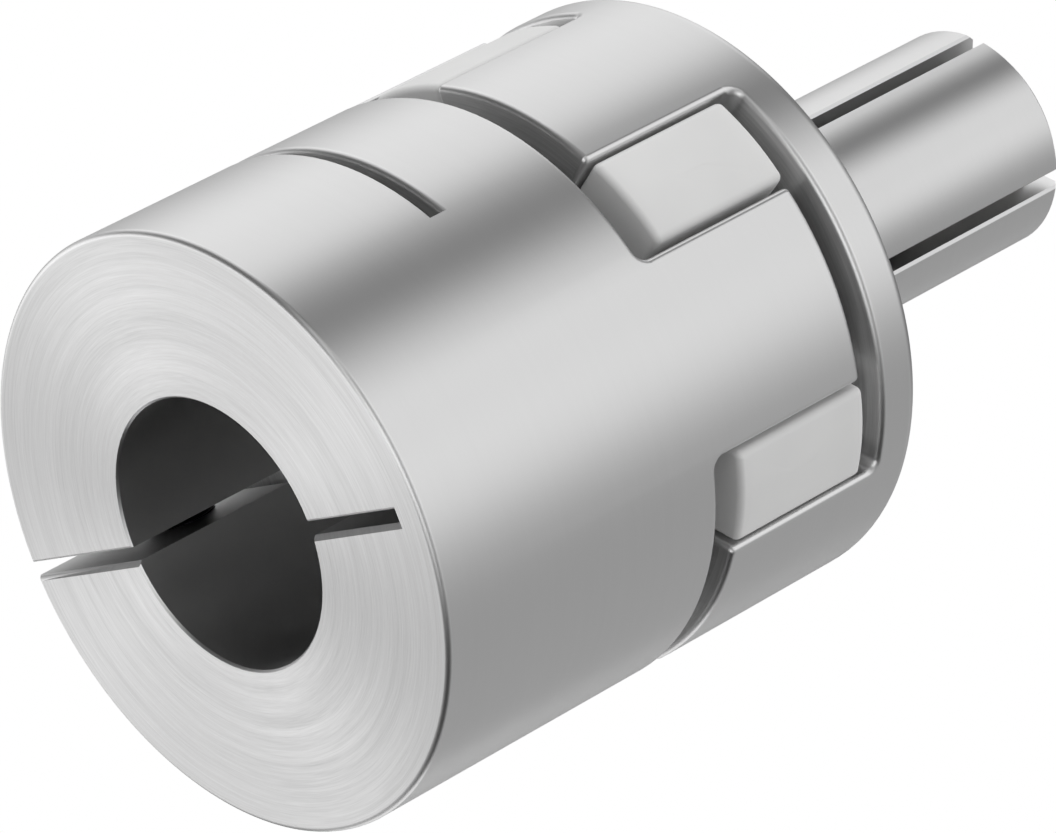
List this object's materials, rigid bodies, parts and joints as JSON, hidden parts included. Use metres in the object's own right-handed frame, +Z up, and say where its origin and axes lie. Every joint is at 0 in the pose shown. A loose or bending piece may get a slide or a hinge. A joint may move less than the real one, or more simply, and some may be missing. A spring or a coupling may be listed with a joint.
{
  "type": "shaft coupling",
  "caption": "Elastomer jaw coupling with a slit clamping hub at one end, a soft star insert between the jaws and a slotted expanding hollow shaft at the other end.",
  "frame": {"origin": "centre of the clamping bore at the clamping hub's front face", "axes": "+X along the coupling's axis from the clamping hub to the end of the expanding shaft, +Z up as the picture shows it, +Y across"},
  "size_m": [0.0735, 0.0429, 0.042],
  "materials": {
    "hub_aluminium": "turned and milled, satin",
    "insert_elastomer": "moulded polyurethane, matt",
    "screw_steel": "black oxide",
    "cone_steel": "turned, bare steel"
  },
  "bodies": {
    "clamp_side": {"clamping_hub": "hub_aluminium"},
    "clamp_bolt": {"clamp_screw": "screw_steel"},
    "insert": {"spider": "insert_elastomer"},
    "expanding_side": {"expanding_hub": "hub_aluminium"},
    "draw_bolt": {"draw_screw": "screw_steel"},
    "cone": {"expander_cone": "cone_steel"}
  },
  "joints": [
    {"name": "axial_float", "type": "slide", "parent": "clamp_side", "child": "insert", "axis": [1, 0, 0], "range_m": [-0.0005, 0.0012]},
    {"name": "torsion", "type": "hinge", "parent": "insert", "child": "expanding_side", "pos_m": [0.033, 0, 0], "axis": [1, 0, 0], "range_deg": [-1.7, 1.7], "stiffness_Nm_per_rad": 1150, "deforming": ["spider"]},
    {"name": "clamp_screw_turn", "type": "hinge", "parent": "clamp_side", "child": "clamp_bolt", "pos_m": [0.0087, 0.01589, -0.0039], "axis": [0, 0.5373, 0.8434], "range_deg": [0, 360]},
    {"name": "draw_screw_turn", "type": "hinge", "parent": "expanding_side", "child": "draw_bolt", "pos_m": [0.0426, 0, 0], "axis": [-1, 0, 0], "range_deg": [0, 360]},
    {"name": "cone_travel", "type": "slide", "parent": "expanding_side", "child": "cone", "axis": [1, 0, 0], "range_m": [0, 0.001]}
  ],
  "couplings": [
    {"joint": "cone_travel", "follows": "draw_screw_turn", "m_per_rad": 0.00015915}
  ]
}
